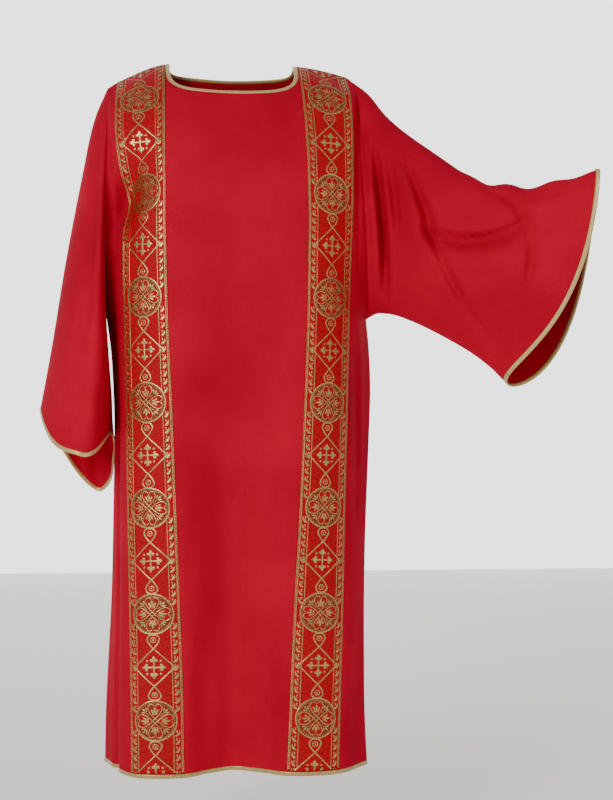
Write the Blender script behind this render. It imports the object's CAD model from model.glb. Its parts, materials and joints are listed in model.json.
# %% [markdown]
# # A red dalmatic with two gold bands
# A dalmatic is a wide tunic of thin cloth.  This one is crimson crepe, cut as a front, a back
# and two wide sleeves.  Two figured gold galloons run from the front hem over the shoulders to
# the back hem, and a narrow gold satin binding closes the neck, the cuffs and the hem.
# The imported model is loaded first: it fixes the frame, and every piece is made in its metres.

# %% Load the frame
import json
import math

import bpy
import numpy as np
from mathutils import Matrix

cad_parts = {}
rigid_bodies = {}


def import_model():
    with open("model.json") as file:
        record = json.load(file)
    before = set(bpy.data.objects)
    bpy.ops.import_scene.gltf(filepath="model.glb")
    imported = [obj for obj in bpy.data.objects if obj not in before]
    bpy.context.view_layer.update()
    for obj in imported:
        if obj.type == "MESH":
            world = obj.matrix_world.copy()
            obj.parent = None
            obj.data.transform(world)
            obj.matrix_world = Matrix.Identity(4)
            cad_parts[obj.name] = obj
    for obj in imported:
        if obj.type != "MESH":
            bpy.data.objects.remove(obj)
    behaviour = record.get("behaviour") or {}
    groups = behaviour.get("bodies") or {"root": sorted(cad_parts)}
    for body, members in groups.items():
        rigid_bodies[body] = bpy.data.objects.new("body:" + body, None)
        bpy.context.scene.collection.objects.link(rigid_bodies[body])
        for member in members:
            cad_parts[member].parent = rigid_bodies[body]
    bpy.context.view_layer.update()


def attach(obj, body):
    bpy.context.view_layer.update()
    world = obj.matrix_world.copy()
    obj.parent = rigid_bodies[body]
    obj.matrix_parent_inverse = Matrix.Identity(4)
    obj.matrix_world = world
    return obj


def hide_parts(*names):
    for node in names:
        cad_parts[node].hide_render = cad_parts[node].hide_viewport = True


for leftover in list(bpy.data.objects):
    bpy.data.objects.remove(leftover, do_unlink=True)
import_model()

# %% [markdown]
# ## The sizes of the garment
# A tailor thinks of a garment as sections.  Each table below has one row per section and named
# columns, and a smooth curve through the rows gives every size between them.  Distances are in
# metres; drop is how far below the shoulder line a section lies, and the front faces -Y.

# %% Sections of the two panels
BAND_WIDTH, NECK_HALF, DROP_HEM, DROP_UNDERARM = 0.098, 0.120, 1.341, 0.450
NECK_DEPTH = {"front": 0.066, "back": 0.020}
NECK_CORNER = {"front": 0.056, "back": 0.017}
# how the columns inside the neck are spread, closer together towards its corners
NECK_SHARES = (0.0, 0.25, 0.50, 0.74, 0.90, 1.0)

# drop, depth of the middle, depth of the bands' inner edges, and how far from the middle the
# inner and outer edges of the wearer's right (-X) and left (+X) bands lie
FRONT_SECTIONS = (
    (0.000, 0.000, 0.000, 0.128, 0.2190, 0.128, 0.2230),
    (0.025, -0.046, -0.040, 0.128, 0.2210, 0.128, 0.2240),
    (0.066, -0.092, -0.084, 0.128, 0.2215, 0.129, 0.2250),
    (0.120, -0.121, -0.114, 0.128, 0.2200, 0.132, 0.2260),
    (0.190, -0.137, -0.134, 0.128, 0.2110, 0.135, 0.2260),
    (0.245, -0.143, -0.142, 0.127, 0.1960, 0.136, 0.2255),
    (0.300, -0.146, -0.147, 0.127, 0.2060, 0.137, 0.2245),
    (0.360, -0.145, -0.150, 0.126, 0.2070, 0.136, 0.2220),
    (0.480, -0.140, -0.151, 0.123, 0.2040, 0.134, 0.2180),
    (0.660, -0.130, -0.150, 0.115, 0.2000, 0.128, 0.2140),
    (0.840, -0.120, -0.150, 0.108, 0.1975, 0.120, 0.2090),
    (1.020, -0.110, -0.152, 0.101, 0.1940, 0.110, 0.2040),
    (1.200, -0.101, -0.154, 0.095, 0.1910, 0.102, 0.1980),
    (1.341, -0.096, -0.155, 0.093, 0.1895, 0.096, 0.1935),
)
BACK_SECTIONS = (
    (0.000, 0.000, 0.000, 0.128, 0.2190, 0.128, 0.2230),
    (0.012, 0.034, 0.030, 0.128, 0.2200, 0.128, 0.2240),
    (0.040, 0.068, 0.064, 0.128, 0.2210, 0.128, 0.2240),
    (0.090, 0.094, 0.091, 0.129, 0.2210, 0.130, 0.2240),
    (0.180, 0.112, 0.112, 0.129, 0.2190, 0.131, 0.2230),
    (0.300, 0.118, 0.121, 0.126, 0.2130, 0.131, 0.2200),
    (0.450, 0.114, 0.121, 0.116, 0.2040, 0.127, 0.2140),
    (0.620, 0.110, 0.120, 0.106, 0.1930, 0.121, 0.2090),
    (0.840, 0.108, 0.124, 0.103, 0.1940, 0.115, 0.2060),
    (1.020, 0.108, 0.130, 0.100, 0.1930, 0.110, 0.2030),
    (1.200, 0.110, 0.137, 0.098, 0.1930, 0.105, 0.2000),
    (1.341, 0.112, 0.142, 0.097, 0.1940, 0.103, 0.1990),
)
# z, distance of the right and left side seams from the middle, and their depths
SIDE_SEAMS = (
    (-0.490, 0.240, 0.263, 0.000, 0.000),
    (-0.550, 0.2320, 0.268, 0.002, -0.004),
    (-0.620, 0.2275, 0.270, 0.004, -0.010),
    (-0.700, 0.2250, 0.267, 0.005, -0.017),
    (-0.780, 0.2260, 0.263, 0.006, -0.024),
    (-0.900, 0.2280, 0.257, 0.006, -0.036),
    (-1.030, 0.2310, 0.253, 0.004, -0.048),
    (-1.130, 0.2360, 0.252, 0.002, -0.056),
    (-1.235, 0.2410, 0.252, 0.000, -0.064),
    (-1.341, 0.2430, 0.256, 0.000, -0.070),
)
SHOULDER_FALL = {-1: -0.036, 1: -0.019}

# %% [markdown]
# A sleeve is read the same way, as rings from shoulder to cuff, each through four named points.

# %% Sections of the two sleeves
# part of the length, then the points over the arm, in front, under the arm and behind
SLEEVE_LEFT = (
    (0.00, (0.239, 0.000, -0.030), (0.247, -0.085, -0.260), (0.263, 0.000, -0.490),
     (0.252, 0.075, -0.260)),
    (0.07, (0.266, -0.006, -0.052), (0.268, -0.094, -0.272), (0.281, -0.008, -0.480),
     (0.277, 0.068, -0.272)),
    (0.16, (0.297, -0.020, -0.094), (0.296, -0.103, -0.290), (0.301, -0.020, -0.480),
     (0.308, 0.055, -0.290)),
    (0.36, (0.384, -0.086, -0.177), (0.348, -0.144, -0.335), (0.345, -0.052, -0.496),
     (0.392, 0.005, -0.335)),
    (0.58, (0.462, -0.152, -0.238), (0.412, -0.198, -0.385), (0.402, -0.105, -0.530),
     (0.468, -0.055, -0.390)),
    (0.80, (0.550, -0.234, -0.257), (0.502, -0.262, -0.415), (0.452, -0.155, -0.567),
     (0.556, -0.120, -0.435)),
    (1.00, (0.636, -0.330, -0.242), (0.600, -0.298, -0.445), (0.499, -0.195, -0.612),
     (0.618, -0.172, -0.525)),
)
SLEEVE_RIGHT = (
    (0.00, (-0.238, 0.000, -0.048), (-0.238, -0.085, -0.270), (-0.240, 0.000, -0.490),
     (-0.242, 0.075, -0.270)),
    (0.14, (-0.262, 0.000, -0.105), (-0.242, -0.100, -0.320), (-0.246, 0.000, -0.535),
     (-0.254, 0.083, -0.330)),
    (0.36, (-0.288, 0.000, -0.225), (-0.247, -0.118, -0.420), (-0.236, -0.005, -0.588),
     (-0.262, 0.094, -0.440)),
    (0.60, (-0.320, 0.000, -0.395), (-0.257, -0.138, -0.550), (-0.230, -0.010, -0.637),
     (-0.268, 0.106, -0.580)),
    (0.80, (-0.344, 0.000, -0.545), (-0.270, -0.156, -0.658), (-0.228, -0.010, -0.682),
     (-0.275, 0.118, -0.705)),
    (1.00, (-0.365, 0.000, -0.668), (-0.283, -0.168, -0.748), (-0.227, -0.010, -0.716),
     (-0.264, 0.112, -0.826)),
)

# %% [markdown]
# ## The creases
# Cloth that hangs from the shoulders never lies smooth.  Each crease is a row: the face it is
# on, three points of its path as seen from the front (x, z), the half width of its slope, its
# height (a minus height is a trough) and how much steeper one flank is than the other.

# %% Crease table
CREASES = (
    # the hollow where the right band turns under at the chest
    ("front", (-0.176, -0.185), (-0.190, -0.262), (-0.200, -0.350), 0.022, -0.013, 0.6),
    ("front", (-0.150, -0.215), (-0.168, -0.300), (-0.172, -0.400), 0.020, 0.004, 0.0),
    # beside the hanging sleeve
    ("front", (-0.228, -0.100), (-0.232, -0.240), (-0.222, -0.350), 0.007, -0.006, 0.0),
    ("front", (-0.249, -0.085), (-0.260, -0.303), (-0.275, -0.540), 0.014, -0.015, 1.2),
    ("front", (-0.240, -0.180), (-0.246, -0.340), (-0.258, -0.560), 0.018, 0.010, 0.0),
    ("front", (-0.276, -0.440), (-0.286, -0.573), (-0.281, -0.700), 0.016, -0.011, 0.0),
    ("front", (-0.228, -0.520), (-0.229, -0.610), (-0.235, -0.702), 0.009, -0.005, 0.0),
    ("front", (-0.328, -0.600), (-0.323, -0.666), (-0.315, -0.710), 0.012, -0.005, 0.0),
    ("front", (-0.247, -0.610), (-0.243, -0.665), (-0.240, -0.730), 0.010, -0.006, 0.0),
    ("front", (-0.305, -0.300), (-0.318, -0.420), (-0.338, -0.560), 0.012, 0.003, 0.0),
    # the skirt
    ("front", (0.232, -0.500), (0.238, -0.680), (0.233, -0.900), 0.012, -0.011, 0.8),
    ("front", (0.258, -0.500), (0.261, -0.640), (0.254, -0.820), 0.010, -0.005, 0.0),
    ("front", (0.232, -1.080), (0.235, -1.249), (0.234, -1.360), 0.012, -0.005, 0.0),
    ("front", (-0.054, -1.050), (-0.060, -1.224), (-0.056, -1.380), 0.022, -0.009, 0.0),
    ("front", (0.063, -1.000), (0.069, -1.226), (0.064, -1.380), 0.022, -0.009, 0.0),
    ("front", (-0.030, -0.780), (-0.018, -0.960), (-0.024, -1.150), 0.022, -0.002, 0.0),
    ("front", (0.078, -0.250), (0.070, -0.420), (0.084, -0.600), 0.030, -0.0018, 0.0),
    ("front", (-0.085, -0.130), (-0.078, -0.230), (-0.088, -0.360), 0.026, -0.0016, 0.0),
    # the sleeve held out: folds fan down from the shoulder
    ("front", (0.247, -0.110), (0.254, -0.170), (0.252, -0.270), 0.007, -0.010, 0.8),
    ("front", (0.238, -0.080), (0.236, -0.200), (0.238, -0.420), 0.006, -0.006, 0.0),
    ("front", (0.268, -0.150), (0.286, -0.317), (0.294, -0.470), 0.011, -0.032, 1.4),
    ("front", (0.262, -0.200), (0.272, -0.330), (0.276, -0.440), 0.012, 0.008, 0.0),
    ("front", (0.296, -0.190), (0.306, -0.270), (0.311, -0.345), 0.008, -0.012, 0.8),
    ("front", (0.312, -0.160), (0.332, -0.280), (0.352, -0.400), 0.016, 0.011, 0.0),
    ("front", (0.322, -0.190), (0.360, -0.295), (0.383, -0.390), 0.012, -0.020, 1.0),
    ("front", (0.372, -0.345), (0.404, -0.432), (0.470, -0.540), 0.009, -0.016, 1.4),
    ("front", (0.345, -0.318), (0.437, -0.350), (0.532, -0.314), 0.018, -0.034, 1.8),
    ("front", (0.350, -0.362), (0.437, -0.395), (0.520, -0.365), 0.024, 0.013, 0.0),
    ("front", (0.452, -0.250), (0.503, -0.288), (0.527, -0.350), 0.012, -0.025, 1.0),
    ("front", (0.526, -0.330), (0.531, -0.390), (0.517, -0.460), 0.011, -0.015, 0.8),
    ("front", (0.490, -0.285), (0.540, -0.300), (0.605, -0.262), 0.015, 0.012, 0.0),
    ("front", (0.262, -0.450), (0.308, -0.488), (0.380, -0.500), 0.011, -0.014, 0.8),
    ("front", (0.400, -0.520), (0.440, -0.560), (0.480, -0.585), 0.010, -0.004, 0.0),
    # the back
    ("back", (-0.100, -0.700), (-0.088, -1.000), (-0.104, -1.360), 0.018, -0.013, 0.7),
    ("back", (0.092, -0.140), (0.080, -0.300), (0.086, -0.480), 0.020, -0.009, 0.4),
    ("back", (-0.060, -0.120), (-0.030, -0.520), (-0.050, -1.000), 0.028, -0.018, 0.6),
    ("back", (0.055, -0.180), (0.068, -0.700), (0.035, -1.300), 0.030, -0.024, 0.8),
    ("back", (0.010, -0.300), (0.018, -0.700), (0.000, -1.360), 0.022, 0.011, 0.0),
    ("back", (0.175, -0.140), (0.186, -0.450), (0.160, -0.850), 0.022, -0.014, 0.7),
    ("back", (-0.180, -0.160), (-0.170, -0.360), (-0.186, -0.640), 0.022, -0.007, 0.5),
    ("back", (-0.210, -0.720), (-0.218, -1.000), (-0.212, -1.360), 0.012, -0.009, 1.0),
    ("back", (0.228, -0.560), (0.238, -0.900), (0.224, -1.360), 0.016, -0.008, 0.8),
    ("back", (-0.250, -0.100), (-0.262, -0.380), (-0.276, -0.700), 0.013, -0.015, 1.0),
    ("back", (-0.282, -0.300), (-0.298, -0.500), (-0.300, -0.720), 0.012, -0.005, 0.0),
    ("back", (0.268, -0.120), (0.292, -0.290), (0.300, -0.470), 0.012, -0.024, 1.2),
    ("back", (0.330, -0.170), (0.356, -0.300), (0.372, -0.460), 0.013, -0.018, 1.0),
    ("back", (0.420, -0.240), (0.450, -0.380), (0.470, -0.560), 0.014, -0.018, 0.8),
    ("back", (0.520, -0.280), (0.560, -0.400), (0.560, -0.540), 0.014, -0.006, 0.0),
)
print(len(CREASES), "creases")

# %% [markdown]
# ## Reading the tables
# Two small tools turn rows into cloth: one reads a column smoothly between its rows, and one
# blends a row of points into a smooth line.  Both are cubic curves that pass through every row.

# %% Smooth reading
def hermite(p, before, after, slope_before, slope_after):
    """A cubic from before to after over p = 0..1, leaving and arriving with the given slopes."""
    return ((2 * p ** 3 - 3 * p ** 2 + 1) * before + (p ** 3 - 2 * p ** 2 + p) * slope_before
            + (3 * p ** 2 - 2 * p ** 3) * after + (p ** 3 - p ** 2) * slope_after)


def table_at(rows, column, where):
    """One column of a table, read smoothly at places along the table's first column."""
    knots = np.array([row[0] for row in rows], float)
    values = np.array([row[column] for row in rows], float)
    if knots[0] > knots[-1]:
        knots, values = knots[::-1], values[::-1]
    flat = values.reshape(len(knots), -1)
    slope = np.gradient(flat, knots, axis=0)
    where = np.clip(np.asarray(where, float), knots[0], knots[-1])
    k = np.clip(np.searchsorted(knots, where) - 1, 0, len(knots) - 2)
    step = (knots[k + 1] - knots[k])[..., None]
    p = ((where - knots[k])[..., None]) / step
    out = hermite(p, flat[k], flat[k + 1], slope[k] * step, slope[k + 1] * step)
    return out.reshape(where.shape + values.shape[1:])


# %% [markdown]
# ## The form of the cloth
# A sleeve section is a ring through four named points.  The sum of a mean, a cosine, a sine and
# a second cosine passes through all four and is always smooth and closed, so it suits cloth.
# A panel section runs through seven stations: side, band edges, middle, band edges, side.  The
# armhole is the sleeve's own first ring, so panel and sleeve meet exactly.

# %% Form of sleeves and panels
def ring(rows, u, phi):
    """Mean + (over - under)/2 cos + (front - back)/2 sin + second cosine of the four points."""
    over, front, under, back = (table_at(rows, c, u) for c in (1, 2, 3, 4))
    phi = np.asarray(phi, float)[..., None]
    return ((over + front + under + back) / 4 + (over - under) / 2 * np.cos(phi)
            + (front - back) / 2 * np.sin(phi)
            + (over - front + under - back) / 4 * np.cos(2 * phi))


def armhole_angle(drop):
    """Angle round the armhole at a drop: half even in angle, half even in height."""
    part = np.clip(np.asarray(drop, float) / DROP_UNDERARM, 0, 1)
    return 0.5 * math.pi * part + 0.5 * np.arccos(1 - 2 * part)


def side_edge(drop, face, left):
    """The panel's side: down the armhole ring, then down the side seam table."""
    angle = armhole_angle(drop)
    arm = ring(SLEEVE_LEFT if left else SLEEVE_RIGHT, np.zeros_like(drop),
               -angle if face == "back" else angle)
    z = np.interp(drop, (DROP_UNDERARM, DROP_HEM), (-0.490, -DROP_HEM))
    x = table_at(SIDE_SEAMS, 2 if left else 1, z) * (1 if left else -1)
    seam = np.stack([x, table_at(SIDE_SEAMS, 4 if left else 3, z), z], -1)
    return np.where((drop <= DROP_UNDERARM)[..., None], arm, seam)


def stations(drop, face):
    """Seven points per section; a band's outer edge is set back by its true width."""
    rows = BACK_SECTIONS if face == "back" else FRONT_SECTIONS
    fade = 1 - np.clip(drop / 1.1, 0, 1) ** 1.5
    y_in = table_at(rows, 2, drop)
    lines = [side_edge(drop, face, False)]
    for column, sign in ((3, -1), (5, 1)):
        x_in, x_out = table_at(rows, column, drop), table_at(rows, column + 1, drop)
        fall = SHOULDER_FALL[sign] * fade
        across = np.maximum(BAND_WIDTH ** 2 - (x_out - x_in) ** 2 - fall ** 2, 0)
        y_out = y_in + (-1 if face == "back" else 1) * np.sqrt(across) * np.clip(drop / 0.05, 0, 1)
        inner = np.stack([sign * x_in, y_in, -drop], -1)
        outer = np.stack([sign * x_out, y_out, fall - drop], -1)
        lines += [outer, inner] if sign < 0 else [inner, outer]
        if sign < 0:
            lines.append(np.stack([0 * drop, table_at(rows, 1, drop), -drop], -1))
    lines.append(side_edge(drop, face, True))
    return np.stack(lines, -2)


def across_panel(a, drop, face):
    """A panel point; a runs -3..3 through the stations on a cubic spaced by their distances."""
    lines = stations(drop, face)
    chord = np.linalg.norm(np.diff(lines, axis=-2), axis=-1)
    slope = np.empty_like(lines)
    slope[..., 1:-1, :] = (lines[..., 2:, :] - lines[..., :-2, :]) / (
        chord[..., 1:] + chord[..., :-1])[..., None]
    slope[..., 0, :] = (lines[..., 1, :] - lines[..., 0, :]) / chord[..., :1]
    slope[..., -1, :] = (lines[..., -1, :] - lines[..., -2, :]) / chord[..., -1:]
    k = np.clip(np.floor(a + 3).astype(int), 0, 5)
    p = (a + 3 - k)[..., None]

    def pick(values, index):
        return np.take_along_axis(values, index[..., None, None], -2)[..., 0, :]

    span = np.take_along_axis(chord, k[..., None], -1)
    return hermite(p, pick(lines, k), pick(lines, k + 1), span * pick(slope, k),
                   span * pick(slope, k + 1))


# %% [markdown]
# ## Laying the creases in
# A crease is a bent line.  The cloth within reach of it is pushed along Y by a bell-shaped
# profile whose flank can be steeper on one side, which gives the sharp line a real fold shows.
# A slow wander of a millimetre or so over the whole cloth keeps the flat parts from looking cut
# from board.

# %% Creases and wander
def crease_push(points, weight, face):
    """Bell of the distance to each bent path, faded at the path's ends, added up along Y."""
    flat = points.reshape(-1, 3)[:, [0, 2]]
    push = np.zeros(len(flat))
    for name, start, middle, end, half_width, height, steep in CREASES:
        if name != face:
            continue
        start, middle, end = np.array(start), np.array(middle), np.array(end)
        s = np.linspace(0, 1, 13)[:, None]
        path = ((1 - s) ** 2 * start + 2 * s * (1 - s) * (2 * middle - (start + end) / 2)
                + s ** 2 * end)
        low, high = path.min(0) - 4 * half_width, path.max(0) + 4 * half_width
        near = np.all((flat > low) & (flat < high), axis=1)
        rel = flat[near, None, :] - path[None, :-1]
        run = np.diff(path, axis=0)
        part = np.clip(np.sum(rel * run, -1) / np.sum(run * run, -1), 0, 1)
        off = rel - part[..., None] * run
        far = np.linalg.norm(off, axis=-1)
        best = np.argmin(far, axis=1)
        pick = np.arange(len(best))
        turn = run[best, 0] * off[pick, best, 1] - run[best, 1] * off[pick, best, 0]
        q = far[pick, best] / half_width
        q = q * np.where(turn > 0, 1 + steep, 1)
        along = (best + part[pick, best]) / 12
        ends = np.sin(np.pi * np.clip(along, 0, 1)) ** 0.7
        push[near] += height * np.exp(-q * q) * ends
    return push.reshape(points.shape[:-1]) * weight


def wander(points, weight):
    """Slow waves of several lengths, about a millimetre high, that never repeat."""
    x, y, z = points[..., 0], points[..., 1], points[..., 2]
    wave = (np.sin(31 * x + 7 * z + 1.3) * np.sin(5.3 * z + 19 * y + 0.4)
            + 0.6 * np.sin(57 * x - 11 * z + 23 * y) * np.sin(9.1 * z + 2.1)
            + 0.35 * np.sin(101 * x + 17 * z + 41 * y + 0.7) * np.sin(23 * z - 31 * x))
    return 0.0011 * wave * weight


def lay(points, weight, face):
    """The smooth form with its creases and wander pushed in along Y."""
    out = points.copy()
    side = 1 if face == "back" else -1
    out[..., 1] += side * (crease_push(points, weight, face) + wander(points, weight))
    return out


# %% [markdown]
# ## Grids
# A panel is a grid of rows down the cloth and columns across it, with a notch for the neck.  A
# sleeve is a grid of rings.  Each becomes a mesh, and Solidify gives it a real thickness.
# Beside the right band the skirt's cloth runs front to back, so its one narrow groove is pushed
# sideways.  The hanging sleeve has small folds on its unseen side, which fade towards the cuff.

# %% Panel and sleeve grids
NECK_ROWS, ARM_ROWS, SKIRT_ROWS, RING_ROWS, INNER = 12, 64, 118, 90, 40
STATION_IN = 0.128          # half the distance between the bands' inner edges at the shoulder
GROOVE_AT, GROOVE_HALF, GROOVE_PUSH = -2.50, 0.07, 0.030
HIDDEN_FOLD = 0.0085


def neck_width(drop, depth):
    """Half the neck opening at a drop: a fourth-power oval, so nearly square."""
    part = np.clip(np.asarray(drop, float) / depth, 0, 1)
    return NECK_HALF * (1 - part ** 4) ** 0.25


def panel_grid(face):
    """Points of a panel, the columns' station numbers, and the cells outside the neck."""
    depth, corner = NECK_DEPTH[face], NECK_CORNER[face]
    notch = corner * np.linspace(0, 1, NECK_ROWS + 1)
    rest = np.linspace(corner, DROP_UNDERARM, ARM_ROWS - NECK_ROWS + 1)[1:]
    skirt = np.linspace(DROP_UNDERARM, DROP_HEM, SKIRT_ROWS + 1)[1:]
    drops = np.concatenate([notch, rest, skirt])
    edge = NECK_HALF / STATION_IN
    half = np.concatenate([edge * np.linspace(0, 1, INNER + 1), [0.97], np.linspace(1, 2, 23),
                           np.linspace(2, 3, 17)[1:]])
    even = np.concatenate([-half[:0:-1], half])
    inside = np.abs(even) < edge + 1e-9
    share = np.interp(np.abs(even) / edge, np.linspace(0, 1, len(NECK_SHARES)), NECK_SHARES)
    tight = np.sign(even) * share * neck_width(corner, depth) / STATION_IN
    bottom = depth * (1 - (np.abs(tight) * STATION_IN / NECK_HALF).clip(0, 1) ** 4) ** 0.25
    past = np.clip((drops - corner) / 0.35, 0, 1)[:, None]
    a = even + (tight - even) * inside * (1 - past) ** 1.5
    sides = np.sign(even) * (neck_width(drops, depth) / STATION_IN)[:, None]
    a = np.where((drops < corner - 1e-9)[:, None] & inside, sides, a)
    drop = np.repeat(drops[:, None], len(even), 1)
    extra = (bottom - corner) * inside * (1 - (drops[:, None] - corner) / (DROP_HEM - corner))
    drop = drop + np.where((drops >= corner - 1e-9)[:, None], extra, 0)
    points = across_panel(a, drop, face)
    blend = np.clip(np.abs(a) - 2, 0, 1) ** 3
    side = np.where(drop < DROP_UNDERARM, np.sin(armhole_angle(drop)), 0)
    weight = (1 - blend) * np.clip((drop - depth * inside) / 0.03, 0, 1) + blend * side
    if face == "front":
        groove = np.exp(-((a - GROOVE_AT) / GROOVE_HALF) ** 2)
        points[..., 0] += GROOVE_PUSH * (groove * np.clip((drop - 0.52) / 0.15, 0, 1))
    cells = np.ones((len(drops) - 1, len(even) - 1), bool)
    cells[:NECK_ROWS, inside[1:] & inside[:-1]] = False
    return lay(points, weight, face), even, cells, drops


def sleeve_grid(rows, drops_front, drops_back):
    """Rings of a sleeve, joined to the armhole vertices of the two panels."""
    ahead = armhole_angle(drops_front[:ARM_ROWS + 1])
    behind = armhole_angle(drops_back[:ARM_ROWS + 1])
    phi = np.concatenate([ahead, 2 * math.pi - behind[-2:0:-1]])
    u, phi = np.meshgrid(np.linspace(0, 1, RING_ROWS), phi, indexing="ij")
    points = ring(rows, u, phi)
    weight = np.abs(np.sin(phi))
    if rows is SLEEVE_LEFT:
        crest = np.clip(np.cos(phi), 0, 1) ** 6 * np.clip((u - 0.45) / 0.2, 0, 1)
        points[..., 2] += 0.0045 * crest * np.sin(38 * u + 0.6) * (1 - u ** 12)
    else:
        corner = np.sin(2 * phi) ** 2 * ((phi > 0) & (phi < math.pi / 2)) * u ** 9
        points += corner[..., None] * np.array([0.0, -0.004, -0.024])
        hidden = np.clip(0.3 - np.sin(phi), 0, 1) ** 1.5 * np.clip(u / 0.25, 0, 1)
        hidden *= 1 - 0.85 * u ** 3
        folds = np.sin(11 * phi + 1.4 * np.sin(2.6 * u)) + 0.5 * np.sin(5 * phi - 1.7 * u)
        radial = points - points.mean(axis=1, keepdims=True)
        radial /= np.linalg.norm(radial, axis=-1, keepdims=True)
        points += radial * (HIDDEN_FOLD * hidden * folds)[..., None]
    points = lay(points, weight * (np.sin(phi) > 0), "front")
    return lay(points, weight * (np.sin(phi) <= 0), "back")


# %% [markdown]
# ## Meshes
# A grid becomes a mesh through foreach_set.  Normals are worked out from the cells and turned
# away from the garment's inside, since every later piece is laid along them.

# %% Mesh makers
def cell_list(rows, cols, round_it=False, keep=None):
    """Four vertex numbers for each cell of a grid, as one array."""
    j = np.arange(cols if round_it else cols - 1)
    i = np.arange(rows - 1)[:, None]
    k = (j + 1) % cols
    cells = np.stack([i * cols + j, i * cols + k, (i + 1) * cols + k, (i + 1) * cols + j], -1)
    return cells.reshape(-1, 4) if keep is None else cells[keep]


def grid_normals(points, centre, round_it=False, keep=None):
    """Mean direction of the cells round each vertex, turned away from the centre."""
    flat = points.reshape(-1, 3)
    cells = cell_list(*points.shape[:2], round_it, keep)
    face = np.cross(flat[cells[:, 2]] - flat[cells[:, 0]], flat[cells[:, 3]] - flat[cells[:, 1]])
    total = np.zeros_like(flat)
    for corner in range(4):
        np.add.at(total, cells[:, corner], face)
    total /= np.maximum(np.linalg.norm(total, axis=1, keepdims=True), 1e-12)
    total = total.reshape(points.shape)
    return total if np.sum((points - centre) * total) > 0 else -total


def make_mesh(name, verts, faces, uv=None):
    """A mesh object from vertex and face arrays; faces all have the same number of corners."""
    mesh = bpy.data.meshes.new(name)
    sides = faces.shape[1]
    mesh.vertices.add(len(verts))
    mesh.vertices.foreach_set("co", np.ascontiguousarray(verts, np.float32).ravel())
    mesh.loops.add(faces.size)
    mesh.loops.foreach_set("vertex_index", np.ascontiguousarray(faces, np.int32).ravel())
    mesh.polygons.add(len(faces))
    mesh.polygons.foreach_set("loop_start", np.arange(0, faces.size, sides, dtype=np.int32))
    if uv is not None:
        layer = mesh.uv_layers.new(name="cloth")
        layer.data.foreach_set("uv", np.ascontiguousarray(uv[faces.ravel()], np.float32).ravel())
    mesh.update(calc_edges=True)
    mesh.polygons.foreach_set("use_smooth", np.ones(len(faces), bool))
    made = bpy.data.objects.new(name, mesh)
    bpy.context.scene.collection.objects.link(made)
    return made


def outward(faces, verts, normals):
    """The faces, all turned over if they look against the given vertex normals."""
    a, b, c = verts[faces[:, 0]], verts[faces[:, 1]], verts[faces[:, 2]]
    if np.sum(np.cross(b - a, c - a) * normals[faces[:, 0]]) < 0:
        return faces[:, ::-1]
    return faces


def finish_piece(piece, cad_node, paint, thickness):
    """Thickness, material, body, slot and the CAD node the piece stands for."""
    wall = piece.modifiers.new("cloth thickness", "SOLIDIFY")
    wall.thickness = thickness
    wall.offset = -1
    piece.data.materials.append(paint)
    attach(piece, "root")
    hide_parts(cad_node)
    return piece


# %% [markdown]
# ## Colour and nodes
# Colours are written as the hex values a designer would use and turned to linear light once.

# %% Colour and node helpers
def linear(hexa):
    """sRGB hex to linear red, green, blue and alpha."""
    parts = [int(hexa[i:i + 2], 16) / 255 for i in (1, 3, 5)]
    return tuple(v / 12.92 if v <= 0.04045 else ((v + 0.055) / 1.055) ** 2.4
                 for v in parts) + (1.0,)


def node(tree, kind, links=(), **settings):
    """Adds a node, sets its properties and inputs, and links (input, node, output) triples."""
    made = tree.nodes.new(kind)
    for name, value in settings.items():
        if hasattr(made, name):
            setattr(made, name, value)
        else:
            made.inputs[name.replace("_", " ")].default_value = value
    for entry, source, exit_name in links:
        tree.links.new(source.outputs[exit_name], made.inputs[entry])
    return made


def new_material(name, **surface):
    """A material whose uniform values sit on the shader's own sockets."""
    made = bpy.data.materials.new(name)
    made.use_nodes = True
    tree = made.node_tree
    shader = tree.nodes["Principled BSDF"]
    for socket, value in surface.items():
        shader.inputs[socket.replace("_", " ")].default_value = value
    return made, tree, shader


# %% [markdown]
# ## Crimson crepe
# The cloth is a polyester crepe: fine hard-twisted threads give a matt face with a faint pebble,
# and the colour drifts a little with the depth of the dye.  The thread is about 0.4 mm, too fine
# to show, so the pebble is drawn at about 2.3 mm.  A weak sheen lightens the turned-away folds.

# %% Crepe
def crepe_material():
    made, tree, shader = new_material(
        "crimson_polyester_crepe", Roughness=0.88, Specular_IOR_Level=0.06, Sheen_Weight=0.03,
        Sheen_Roughness=0.6, Sheen_Tint=linear("#D8304C"))
    place = node(tree, "ShaderNodeTexCoord")
    dye = node(tree, "ShaderNodeTexNoise", [("Vector", place, "Object")], Scale=6.0, Detail=3.0)
    fibre = node(tree, "ShaderNodeTexNoise", [("Vector", place, "Object")], Scale=430.0,
                 Detail=3.0, Roughness=0.7)
    tone = node(tree, "ShaderNodeValToRGB", [("Fac", dye, "Fac")])
    tone.color_ramp.elements[0].position = 0.30
    tone.color_ramp.elements[0].color = linear("#A60624")
    tone.color_ramp.elements[1].position = 0.72
    tone.color_ramp.elements[1].color = linear("#BC062A")
    grain = node(tree, "ShaderNodeMix", [(6, tone, "Color")], data_type="RGBA",
                 blend_type="MULTIPLY")
    grain.inputs[0].default_value = 0.35
    speck = node(tree, "ShaderNodeMapRange", [("Value", fibre, "Fac")])
    speck.inputs["To Min"].default_value = 0.72
    speck.inputs["To Max"].default_value = 1.18
    tree.links.new(speck.outputs[0], grain.inputs[7])
    tree.links.new(grain.outputs[2], shader.inputs["Base Color"])
    bump = node(tree, "ShaderNodeBump", [("Height", fibre, "Fac")], Strength=0.5,
                Distance=0.0008)
    tree.links.new(bump.outputs["Normal"], shader.inputs["Normal"])
    return made


crepe = crepe_material()

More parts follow.
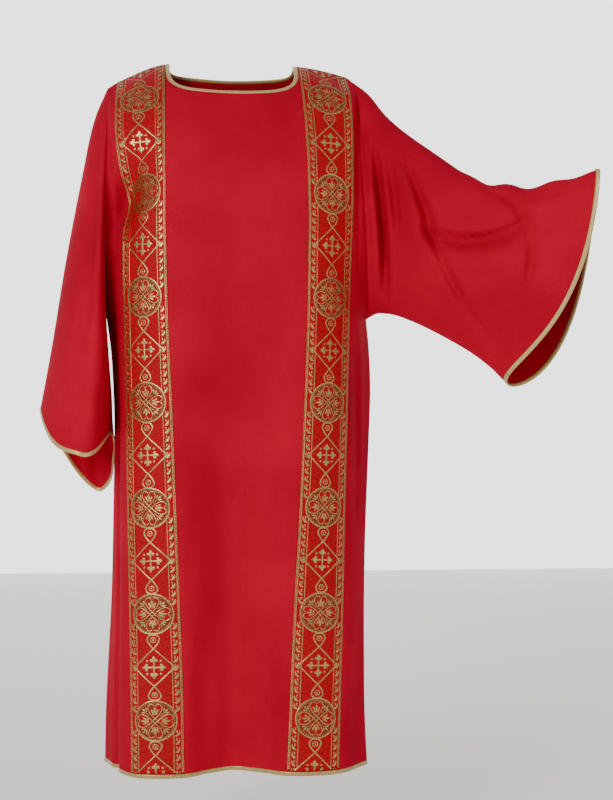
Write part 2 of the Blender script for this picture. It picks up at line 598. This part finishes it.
# %% [markdown]
# ## Front and back panels
# Each panel is one cut piece of crepe from shoulder seam to hem.  It is laid out as a grid, and
# a wall of 1.2 mm stands for the crepe with its turned-in seam allowances.

# %% Make the panels
CENTRE = np.array([0.0, 0.0, -0.7])
CLOTH_WALL = 0.0012
panels = {}
for face in ("front", "back"):
    points, even, keep, drops = panel_grid(face)
    normals = grid_normals(points, CENTRE, keep=keep)
    flat, flat_normals = points.reshape(-1, 3), normals.reshape(-1, 3)
    faces = outward(cell_list(*points.shape[:2], keep=keep), flat, flat_normals)
    piece = make_mesh(face + "_crepe", flat, faces)
    finish_piece(piece, face + "_panel", crepe, CLOTH_WALL)
    panels[face] = {"points": points, "normals": normals, "even": even, "keep": keep,
                    "drops": drops, "object": piece}
    print(face, "panel", len(faces), "cells")

# %% [markdown]
# ## Sleeves
# A dalmatic's sleeve is a wide tube cut in one flat piece and closed under the arm.  The right
# one hangs; the left one is held out, so its cloth hangs in a bow between shoulder and cuff.

# %% Make the sleeves
sleeves = {}
for side, rows in (("left", SLEEVE_LEFT), ("right", SLEEVE_RIGHT)):
    points = sleeve_grid(rows, panels["front"]["drops"], panels["back"]["drops"])
    normals = grid_normals(points, points.mean(axis=1, keepdims=True), round_it=True)
    flat, flat_normals = points.reshape(-1, 3), normals.reshape(-1, 3)
    faces = outward(cell_list(*points.shape[:2], round_it=True), flat, flat_normals)
    piece = make_mesh("sleeve_" + side + "_crepe", flat, faces)
    finish_piece(piece, "sleeve_" + side, crepe, CLOTH_WALL)
    sleeves[side] = {"points": points, "normals": normals, "object": piece}
    print(side, "sleeve", len(faces), "cells")

# %% [markdown]
# ## The galloon's ground
# A galloon is a woven ribbon.  Its ground is a close red satin with a warmer, browner red inside
# the medallions.  The ribbon is sewn flat on the panels and runs over the shoulder unbroken, so
# it is taken from the panels' own grid and moved out by its thickness.

# %% Satin and lurex
def satin_material(name, colour):
    """Fine weft ribs 0.9 mm apart on a glossy red; the ribs break the shine into soft streaks."""
    made, tree, shader = new_material(name, Roughness=0.58, Specular_IOR_Level=0.08)
    place = node(tree, "ShaderNodeUVMap", uv_map="cloth")
    rib = node(tree, "ShaderNodeTexWave", [("Vector", place, "UV")], bands_direction="Y",
               Scale=350.0, Distortion=0.6)
    blot = node(tree, "ShaderNodeTexNoise", [("Vector", place, "UV")], Scale=260.0, Detail=2.0)
    tone = node(tree, "ShaderNodeValToRGB", [("Fac", blot, "Fac")])
    tone.color_ramp.elements[0].position = 0.35
    tone.color_ramp.elements[0].color = linear(colour[0])
    tone.color_ramp.elements[1].position = 0.68
    tone.color_ramp.elements[1].color = linear(colour[1])
    tree.links.new(tone.outputs[0], shader.inputs["Base Color"])
    bump = node(tree, "ShaderNodeBump", [("Height", rib, "Fac")], Strength=0.20,
                Distance=0.0003)
    tree.links.new(bump.outputs["Normal"], shader.inputs["Normal"])
    return made


def lurex_material():
    """Flat metallised thread: a pale gold whose tiny facets sparkle unevenly."""
    made, tree, shader = new_material("gold_lurex_thread", Metallic=0.9, Roughness=0.34)
    place = node(tree, "ShaderNodeTexCoord")
    fleck = node(tree, "ShaderNodeTexNoise", [("Vector", place, "Object")], Scale=900.0,
                 Detail=1.0)
    tone = node(tree, "ShaderNodeValToRGB", [("Fac", fleck, "Fac")])
    tone.color_ramp.elements[0].position = 0.34
    tone.color_ramp.elements[0].color = linear("#6C5A34")
    tone.color_ramp.elements[1].position = 0.66
    tone.color_ramp.elements[1].color = linear("#DEC07A")
    tree.links.new(tone.outputs[0], shader.inputs["Base Color"])
    bump = node(tree, "ShaderNodeBump", [("Height", fleck, "Fac")], Strength=0.5,
                Distance=0.0004)
    tree.links.new(bump.outputs["Normal"], shader.inputs["Normal"])
    return made


satin = satin_material("red_satin_galloon_ground", ("#960814", "#B80E1A"))
disc_satin = satin_material("brown_red_satin_medallion_ground", ("#6E2016", "#963A22"))
lurex = lurex_material()

# %% [markdown]
# The band's surface is a grid of points from front hem to back hem.  A pattern point (across,
# along, height in millimetres) is found on it by reading the grid between its four neighbours,
# so the woven figures bend with every crease beneath them.

# %% The band surfaces
RIBBON_LIFT = 0.0010


def band_surface(sign):
    """Points and normals from front hem over the shoulder to back hem, with lengths along."""
    rows = []
    for face in ("front", "back"):
        panel = panels[face]
        inside = (sign * panel["even"] > 0.999) & (sign * panel["even"] < 2.001)
        rows.append([panel["points"][:-1, inside], panel["normals"][:-1, inside]])
    points = np.concatenate([rows[0][0][::-1], rows[1][0][1:]])
    normals = np.concatenate([rows[0][1][::-1], rows[1][1][1:]])
    seam = len(rows[0][0]) - 1
    shared = rows[0][1][0] + rows[1][1][0]
    normals[seam] = shared / np.linalg.norm(shared, axis=-1, keepdims=True)
    if sign < 0:
        points, normals = points[:, ::-1], normals[:, ::-1]
    middle = points[:, points.shape[1] // 2]
    along = np.concatenate([[0], np.cumsum(np.linalg.norm(np.diff(middle, axis=0), axis=1))])
    along *= 1000
    run = np.gradient(middle, axis=0)
    run /= np.linalg.norm(run, axis=1, keepdims=True)
    square = along[:, None] + 1000 * np.einsum("ijk,ik->ij", points - middle[:, None], run)
    square = np.maximum.accumulate(square, axis=0)
    marks = np.arange(0, along[-1] + 1)
    table = np.stack([np.interp(marks, square[:, j] + 1e-6 * np.arange(len(along)),
                                np.arange(len(along)), left=-9, right=9999)
                      for j in range(points.shape[1])], 1)
    return {"points": points, "normals": normals, "along": along, "rows": table}


def band_row(band, s, t):
    """Row number where the pattern's cross line t meets the line s, square to the ribbon."""
    cols = band["rows"].shape[1] - 1
    j = np.clip((s / (BAND_WIDTH * 1000) + 0.5) * cols, 0, cols - 1e-6)
    m = np.clip(t, 0, len(band["rows"]) - 1 - 1e-6)
    j0, m0 = j.astype(int), m.astype(int)
    p, q = m - m0, j - j0
    grid = band["rows"]
    return ((1 - p) * ((1 - q) * grid[m0, j0] + q * grid[m0, j0 + 1])
            + p * ((1 - q) * grid[m0 + 1, j0] + q * grid[m0 + 1, j0 + 1]))


def on_band(band, s, t, height):
    """Three-dimensional points for pattern places s, t and heights, all in millimetres."""
    cols = band["points"].shape[1] - 1
    j = np.clip((s / (BAND_WIDTH * 1000) + 0.5) * cols, 0, cols - 1e-6)
    i = np.clip(band_row(band, s, t), 0, len(band["along"]) - 1 - 1e-6)
    i0, j0 = i.astype(int), j.astype(int)
    p, q = (i - i0)[:, None], (j - j0)[:, None]

    def blend(field):
        grid = band[field]
        return ((1 - p) * ((1 - q) * grid[i0, j0] + q * grid[i0, j0 + 1])
                + p * ((1 - q) * grid[i0 + 1, j0] + q * grid[i0 + 1, j0 + 1]))

    normal = blend("normals")
    normal /= np.linalg.norm(normal, axis=1, keepdims=True)
    return blend("points") + normal * (RIBBON_LIFT + height / 1000)[:, None], normal


bands = {"left": band_surface(1), "right": band_surface(-1)}
for side, band in bands.items():
    verts = (band["points"] + band["normals"] * RIBBON_LIFT).reshape(-1, 3)
    rows, cols = band["points"].shape[:2]
    uv = np.stack(np.meshgrid(np.linspace(0, BAND_WIDTH, cols), band["along"] / 1000), -1)
    faces = outward(cell_list(rows, cols), verts, band["normals"].reshape(-1, 3))
    band["object"] = finish_piece(make_mesh("galloon_" + side + "_ground", verts, faces,
                                            uv.reshape(-1, 2)),
                                  "galloon_" + side, satin, 0.0007)
    print(side, "galloon length", round(band["along"][-1] / 1000, 3), "m")

# %% [markdown]
# ## The galloon's figures
# One repeat is 195 mm: a medallion and a lozenge with a cross, tied by drop-shaped links.  Each
# medallion holds four heart-shaped scrolls round a small ring, with a palmette in each heart.
# The borders are a beaded edge, a line, a strip of curled leaves and an inner line.  Every
# figure is drawn with strokes: a path in millimetres with a width that may swell along it.

# %% Stroke tools
STROKES = []
FILLS = []
REPEAT = 195.0


def stroke(path, half_width):
    """Keeps a path of (across, along) points with its half widths, all in millimetres."""
    path = np.asarray(path, float)
    STROKES.append((path, np.broadcast_to(np.asarray(half_width, float), len(path)).copy()))


def turn(path, angle, centre=(0, 0)):
    c, s = math.cos(angle), math.sin(angle)
    return np.asarray(path) @ np.array([[c, s], [-s, c]]) + centre


def arc(radius, start, end, count, centre=(0, 0)):
    angle = np.radians(np.linspace(start, end, count))
    return np.stack([centre[0] + radius * np.sin(angle), centre[1] + radius * np.cos(angle)], 1)


def smooth(points, count):
    """A round path through hand-placed points, read as one cubic per span."""
    points = np.asarray(points, float)
    rows = [(k, tuple(p)) for k, p in enumerate(points)]
    return table_at(rows, 1, np.linspace(0, len(points) - 1, count))


def petal(path, widest, where=0.5):
    """A stroke that starts and ends in a point and is widest at the given share of its length."""
    s = np.linspace(0, 1, len(path))
    shape = np.sin(np.pi * s ** (math.log(0.5) / math.log(where)))
    stroke(path, 0.12 + widest * np.clip(shape, 0, 1))


def dot(centre, radius):
    """A round spot: a short stroke whose width follows a circle."""
    s = np.linspace(-1, 1, 7)
    path = np.stack([centre[0] + radius * s, centre[1] + 0 * s], 1)
    stroke(path, radius * np.sqrt(np.clip(1 - s * s, 0.01, 1)))


# %% [markdown]
# The strokes of one repeat are drawn about a medallion at zero and a lozenge half a repeat on.

# %% Draw one repeat
def medallion(mid):
    stroke(arc(36.4, 0, 360, 73, (0, mid)), 1.25)
    stroke(arc(33.2, 0, 360, 61, (0, mid)), 0.30)
    stroke(arc(3.4, 0, 360, 15, (0, mid)), 0.80)
    for quarter in range(4):
        angle = quarter * math.pi / 2
        reach = np.array([4.8, 8, 11, 14, 17, 20, 23, 26, 28.5, 30.3])
        wide = np.array([0.3, 3.4, 5.8, 7.9, 9.6, 10.9, 11.4, 10.6, 8.4, 4.4])
        FILLS.append((turn(np.stack([0 * reach, reach], 1), angle, (0, mid)), wide))
        for side in (-1, 1):
            heart = smooth([(0, 4.6), (4.8 * side, 9.3), (9.8 * side, 16.5),
                            (12.0 * side, 23.6), (8.6 * side, 30.0), (3.0 * side, 29.8),
                            (1.4 * side, 27.0)], 30)
            stroke(turn(heart, angle, (0, mid)), np.linspace(0.9, 0.8, 30))
            for root, far, spread in ((11.0, 15.0, 4.2), (15.0, 21.5, 6.3)):
                leaf = smooth([(0.5 * side, root), (spread * 0.6 * side, root + 1.8),
                               (spread * side, far)], 8)
                petal(turn(leaf, angle, (0, mid)), 1.9, 0.62)
        petal(turn(smooth([(0, 9.0), (0, 16), (0, 26.0)], 10), angle, (0, mid)), 2.5, 0.72)
        between = angle + math.pi / 4
        stem = np.stack([np.zeros(7), np.linspace(13.0, 23.0, 7)], 1)
        stroke(turn(stem, between, (0, mid)), 0.45)
        for side in (-1, 1):
            sprig = smooth([(0.4 * side, 22.0), (3.0 * side, 24.0), (6.4 * side, 28.6)], 8)
            petal(turn(sprig, between, (0, mid)), 1.3, 0.62)
        petal(turn(smooth([(0, 23.0), (0, 27), (0, 31.4)], 8), between, (0, mid)), 1.7, 0.55)


def lozenge(mid):
    wide, high, over = 35.6, 34.5, 1.07
    for sx, sy in ((1, 1), (1, -1), (-1, 1), (-1, -1)):
        s = np.linspace(1 - over, over, 13)[:, None]
        edge = (1 - s) * np.array([0, sy * high]) + s * np.array([sx * wide, 0])
        stroke(edge + (0, mid), 1.05)
        dot((11.8 * sx, mid + 11.8 * sy), 1.9)
    dot((0, mid), 2.4)
    for quarter in range(4):
        angle = quarter * math.pi / 2
        arm = np.stack([np.zeros(9), np.linspace(2.0, 15.0, 9)], 1)
        stroke(turn(arm, angle, (0, mid)), np.linspace(1.0, 1.7, 9))
        petal(turn(smooth([(0, 11.0), (0, 15.5), (0, 21.0)], 9), angle, (0, mid)), 3.1, 0.5)
        for side in (-1, 1):
            tip = smooth([(0.6 * side, 11.2), (3.6 * side, 12.4), (6.6 * side, 14.8)], 9)
            petal(turn(tip, angle, (0, mid)), 2.3, 0.6)


def link(start, way):
    """A drop: round end towards the medallion, point at the lozenge, ring and spot inside."""
    for side in (-1, 1):
        half = smooth([(0, 0.4), (6.6 * side, 1.8), (10.6 * side, 8.4), (7.4 * side, 16.5),
                       (0, 26.5)], 26)
        stroke(half * (1, way) + (0, start), 1.15)
    stroke(arc(4.4, 0, 360, 17, (0, start + 10.0 * way)), 0.85)
    dot((0, start + 10.0 * way), 1.5)


def borders():
    """Straight lines and leaves of both edges; leaves and inner lines stop at the medallion."""
    steps = np.linspace(0, REPEAT, 40)
    for sx in (-1, 1):
        stroke(np.stack([sx * (45.0 + 0 * steps), steps], 1), 0.80)
        open_part = np.linspace(22.5, REPEAT - 22.5, 32)
        stroke(np.stack([sx * (30.6 + 0 * open_part), open_part], 1), 0.65)
        for k in range(65):
            dot((sx * 47.7, 1.5 + 3.0 * k), 1.05)
        for k in range(13):
            mid = 7.5 + 15 * k
            if min(mid, REPEAT - mid) < 10:
                continue
            leaf = smooth([(sx * 33.4, mid - 5.6), (sx * 36.6, mid - 4.6), (sx * 40.2, mid - 0.6),
                           (sx * 41.0, mid + 5.0)], 14)
            petal(leaf, 2.0, 0.45)
            curl = smooth([(sx * 34.2, mid + 0.6), (sx * 36.4, mid + 1.4), (sx * 36.0, mid + 4.6),
                           (sx * 33.8, mid + 4.2)], 10)
            petal(curl, 0.8, 0.5)


medallion(0.0)
lozenge(REPEAT / 2)
link(37.2, 1)
link(-37.2, -1)
borders()
print(len(STROKES), "strokes in one repeat")

# %% [markdown]
# ## Weaving the figures in
# A stroke becomes a low ridge of three lines of points: two on the ground and one 0.45 mm proud.
# The ridges of all repeats are laid on each band and cut off where the bindings begin.

# %% Lay the figures on the bands
def ridge(path, half_width, edge, height):
    """Across, along and height of a stroke's three lines of points, and its faces."""
    step = np.gradient(path, axis=0)
    step /= np.maximum(np.linalg.norm(step, axis=1, keepdims=True), 1e-9)
    side = np.stack([-step[:, 1], step[:, 0]], 1) * half_width[:, None]
    flat = np.stack([path - side, path, path + side], 1)
    lift = np.tile([edge, height, edge], (len(path), 1))
    return np.concatenate([flat, lift[..., None]], -1).reshape(-1, 3), cell_list(len(path), 3)


def one_repeat(strokes, edge, height):
    verts, faces, total = [], [], 0
    for path, half_width in strokes:
        v, f = ridge(path, half_width, edge, height)
        verts.append(v)
        faces.append(f + total)
        total += len(v)
    return np.concatenate(verts), np.concatenate(faces)


def lay_figures(name, band, verts, faces, paint, anchor):
    """Copies of one repeat along a band, without the faces that pass its ends."""
    copies = np.arange(-1, int(band["along"][-1] // REPEAT) + 2)
    places = verts[None] + np.array([0, 1, 0]) * (copies * REPEAT + anchor)[:, None, None]
    places = places.reshape(-1, 3)
    cells = (faces[None] + (np.arange(len(copies)) * len(verts))[:, None, None]).reshape(-1, 4)
    row, last = band_row(band, places[:, 0], places[:, 1]), len(band["along"]) - 1
    inside = (row > 0.1) & (row < last - 0.1) & (places[:, 1] > 0)
    inside &= places[:, 1] < band["along"][-1]
    cells = cells[np.all(inside[cells], axis=1)]
    used, cells = np.unique(cells, return_inverse=True)
    cells = cells.reshape(-1, 4)
    places = places[used]
    points, normals = on_band(band, places[:, 0], places[:, 1], places[:, 2])
    a, b, c = points[cells[:, 0]], points[cells[:, 1]], points[cells[:, 2]]
    back = np.sum(np.cross(b - a, c - a) * normals[cells[:, 0]], axis=1) < 0
    cells[back] = cells[back][:, ::-1]
    uv = places[:, :2] / 1000
    made = make_mesh(name, points, cells, uv)
    made.data.materials.append(paint)
    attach(made, "root")
    print(name, len(cells) * 2, "triangles")
    return made


figure_verts, figure_faces = one_repeat(STROKES, 0.05, 0.45)
heart_verts, heart_faces = one_repeat(FILLS, 0.18, 0.18)
disc_r, disc_angle = np.meshgrid(np.linspace(0.01, 36.0, 13), np.linspace(0, 2 * math.pi, 61),
                                 indexing="ij")
disc_verts = np.stack([disc_r * np.sin(disc_angle), disc_r * np.cos(disc_angle),
                       0 * disc_r + 0.10], -1).reshape(-1, 3)
disc_faces = cell_list(*disc_r.shape)
for side, band in bands.items():
    start = "galloon_" + side
    band["extras"] = (
        lay_figures(start + "_medallion_grounds", band, disc_verts, disc_faces, disc_satin,
                    REPEAT / 2),
        lay_figures(start + "_heart_grounds", band, heart_verts, heart_faces, satin, REPEAT / 2),
        lay_figures(start + "_gold_figures", band, figure_verts, figure_faces, lurex,
                    REPEAT / 2))

# %% [markdown]
# ## The bindings
# A bias strip of gold satin is folded over every raw edge.  It is fuller than a plain fold
# because the turned cloth fills it, and it puckers slightly where the stitching draws it in.
# The profile is a U with a plump outer side; it is carried along the edge.

# %% Binding satin
def binding_material(name, dark, light):
    """Satin strip: bright where it turns to the light, with fine threads along the fold."""
    made, tree, shader = new_material(name, Metallic=0.25, Roughness=0.36)
    place = node(tree, "ShaderNodeUVMap", uv_map="cloth")
    thread = node(tree, "ShaderNodeTexNoise", [("Vector", place, "UV")], Scale=420.0,
                  Detail=2.0)
    tone = node(tree, "ShaderNodeValToRGB", [("Fac", thread, "Fac")])
    tone.color_ramp.elements[0].position = 0.32
    tone.color_ramp.elements[0].color = linear(dark)
    tone.color_ramp.elements[1].position = 0.70
    tone.color_ramp.elements[1].color = linear(light)
    tree.links.new(tone.outputs[0], shader.inputs["Base Color"])
    bump = node(tree, "ShaderNodeBump", [("Height", thread, "Fac")], Strength=0.25,
                Distance=0.0003)
    tree.links.new(bump.outputs["Normal"], shader.inputs["Normal"])
    return made


pale_gold = binding_material("pale_gold_satin_binding", "#AC8844", "#DEC284")
deep_gold = binding_material("deep_gold_satin_binding", "#80662E", "#D8BC78")


# %% [markdown]
# At each point of an edge the U stands square to the edge's run, opening into the cloth.

# %% Carry the U along an edge
def bind_edge(name, cad_node, edge, normals, towards, paint):
    """towards is a rough direction into the cloth at each edge point."""
    smooth_normals = normals + 0.5 * (np.roll(normals, 1, 0) + np.roll(normals, -1, 0))
    smooth_normals /= np.linalg.norm(smooth_normals, axis=1, keepdims=True)
    run = np.roll(edge, -1, 0) - np.roll(edge, 1, 0)
    run /= np.linalg.norm(run, axis=1, keepdims=True)
    into = np.cross(smooth_normals, run)
    into *= np.sign(np.sum(into * towards, axis=1, keepdims=True))
    length = np.concatenate([[0], np.cumsum(np.linalg.norm(
        np.roll(edge, -1, 0) - edge, axis=1))])
    w = length[:-1]
    pucker = 1 + 0.16 * np.sin(w * 520) * np.sin(w * 77 + 1) + 0.10 * np.sin(w * 233 + 2)
    depth = np.array([7.0, 6.4, 5.0, 3.2, 1.4, 0.1, -0.75, -0.75, 0.1, 1.4, 3.2, 5.0, 6.6]) / 1e3
    rise = np.array([0.45, 0.85, 1.15, 1.25, 1.15, 0.85, 0.15, -1.35, -2.05, -2.3, -2.3, -2.1,
                     -1.7]) / 1e3
    puff = np.where(rise > 0.3e-3, pucker[:, None], 1.0)
    verts = (edge[:, None] + into[:, None] * depth[None, :, None]
             + smooth_normals[:, None] * (rise[None, :] * puff)[..., None])
    count, sides = verts.shape[:2]
    closed = np.concatenate([verts, verts[:1]])
    uv = np.stack(np.meshgrid(np.cumsum(np.full(sides, 0.0018)), length), -1).reshape(-1, 2)
    flat = closed.reshape(-1, 3)
    away = np.repeat(np.concatenate([smooth_normals, smooth_normals[:1]])[:, None], sides, 1)
    faces = cell_list(count + 1, sides)
    first = faces.reshape(-1, sides - 1, 4)[:, :4].reshape(-1, 4)
    if np.sum(np.cross(flat[first[:, 1]] - flat[first[:, 0]], flat[first[:, 2]]
                       - flat[first[:, 0]]) * away.reshape(-1, 3)[first[:, 0]]) < 0:
        faces = faces[:, ::-1]
    made = make_mesh(name, flat, faces, uv)
    finish_piece(made, cad_node, paint, 0.0004)
    print(name, "length", round(float(length[-1]), 3), "m")
    return made, float(length[-1])


def joined(first, second):
    return np.concatenate([first, second])


front, back = panels["front"], panels["back"]
hem = joined(front["points"][-1], back["points"][-1, -2:0:-1])
hem_normals = joined(front["normals"][-1], back["normals"][-1, -2:0:-1])
bind_edge("hem_binding_satin", "hem_binding", hem, hem_normals,
                         np.tile([0.0, 0.0, 1.0], (len(hem), 1)), deep_gold)
for side in ("left", "right"):
    sleeve = sleeves[side]
    bind_edge("cuff_" + side + "_binding_satin", "cuff_binding_" + side,
                            sleeve["points"][-1], sleeve["normals"][-1],
                            sleeve["points"][-4] - sleeve["points"][-1], pale_gold)


def neck_path(panel):
    """The notch's edge from the right shoulder down, across and up to the left shoulder."""
    inside = np.flatnonzero(np.abs(panel["even"]) < NECK_HALF / STATION_IN + 1e-9)
    first, last = inside[0], inside[-1]
    rows = np.concatenate([np.arange(NECK_ROWS), np.full(last - first + 1, NECK_ROWS),
                           np.arange(NECK_ROWS - 1, -1, -1)])
    cols = np.concatenate([np.full(NECK_ROWS, first), np.arange(first, last + 1),
                           np.full(NECK_ROWS, last)])
    return panel["points"][rows, cols], panel["normals"][rows, cols]


front_neck, back_neck = neck_path(front), neck_path(back)
neck = joined(front_neck[0], back_neck[0][-2:0:-1])
neck_normals = joined(front_neck[1], back_neck[1][-2:0:-1])
away = neck - np.array([0.0, -0.03, 0.0])
bind_edge("neck_binding_satin", "neck_binding", neck, neck_normals, away,
                          pale_gold)

# %% [markdown]
# ## The cut
# Each cloth piece is declared with the size it was cut to.  The lengths come from the garment
# itself, measured along the cloth, and a maker would add seam allowances of about 1 cm.

def cloth_area(points, keep=None, round_it=False):
    flat = points.reshape(-1, 3)
    cells = cell_list(*points.shape[:2], round_it, keep)
    return float(np.linalg.norm(np.cross(flat[cells[:, 2]] - flat[cells[:, 0]],
                                         flat[cells[:, 3]] - flat[cells[:, 1]]), axis=1).sum() / 2)


for side in ("left", "right"):
    print(side, "sleeve area", round(cloth_area(sleeves[side]["points"], None, True), 3))

# %% [markdown]
# ## Floor, light and camera
# The garment hangs free over a pale floor in a broad, soft frontal light from a pale room, which
# is how cloth is usually shown: shadows stay faint and the creases read by their slopes.

# %% Studio
scene = bpy.context.scene
world = bpy.data.worlds.new("pale_room")
world.use_nodes = True
world.node_tree.nodes["Background"].inputs[0].default_value = linear("#FFFFFF")
world.node_tree.nodes["Background"].inputs[1].default_value = 0.55
scene.world = world

floor_paint = new_material("pale_studio_floor", Base_Color=linear("#F4F3F1"), Roughness=0.9)[0]
reach = np.array([[-9, -7, -1.56], [9, -7, -1.56], [9, 12, -1.56], [-9, 12, -1.56]], float)
floor = make_mesh("studio_floor", reach, np.array([[0, 1, 2, 3]]))
floor.data.materials.append(floor_paint)

paper, paper_tree, _ = new_material("white_backdrop_paper")
glow = node(paper_tree, "ShaderNodeEmission", Strength=2.6)
paper_tree.links.new(glow.outputs[0], paper_tree.nodes["Material Output"].inputs[0])
wall = np.array([[-6, 5.5, -1.6], [6, 5.5, -1.6], [6, 5.5, 5.0], [-6, 5.5, 5.0]], float)
backdrop = make_mesh("studio_backdrop", wall, np.array([[0, 1, 2, 3]]))
backdrop.data.materials.append(paper)


def soft_light(name, place, aim, size, power):
    lamp = bpy.data.lights.new(name, "AREA")
    lamp.shape = "RECTANGLE"
    lamp.size, lamp.size_y, lamp.energy = size[0], size[1], power
    made = bpy.data.objects.new(name, lamp)
    made.location = place
    way = np.array(aim, float) - np.array(place, float)
    made.rotation_euler = (math.acos(-way[2] / np.linalg.norm(way)), 0,
                           math.atan2(way[1], way[0]) - math.pi / 2)
    scene.collection.objects.link(made)


soft_light("key_softbox", (-1.7, -3.2, 0.25), (0.05, 0, -0.7), (0.9, 0.9), 74)
soft_light("fill_softbox", (2.6, -2.6, -0.2), (0.05, 0, -0.7), (1.5, 2.0), 12)
soft_light("back_softbox", (0.4, 3.0, 0.8), (0, 0, -0.7), (2.0, 2.0), 14)

lens = bpy.data.cameras.new("camera")
lens.lens, lens.sensor_width = 73.17, 36.0
camera = bpy.data.objects.new("camera", lens)
camera.location = (-0.135, -3.15, -0.647)
camera.rotation_euler = (math.radians(90), 0, math.radians(-5.1))
scene.collection.objects.link(camera)
scene.camera = camera
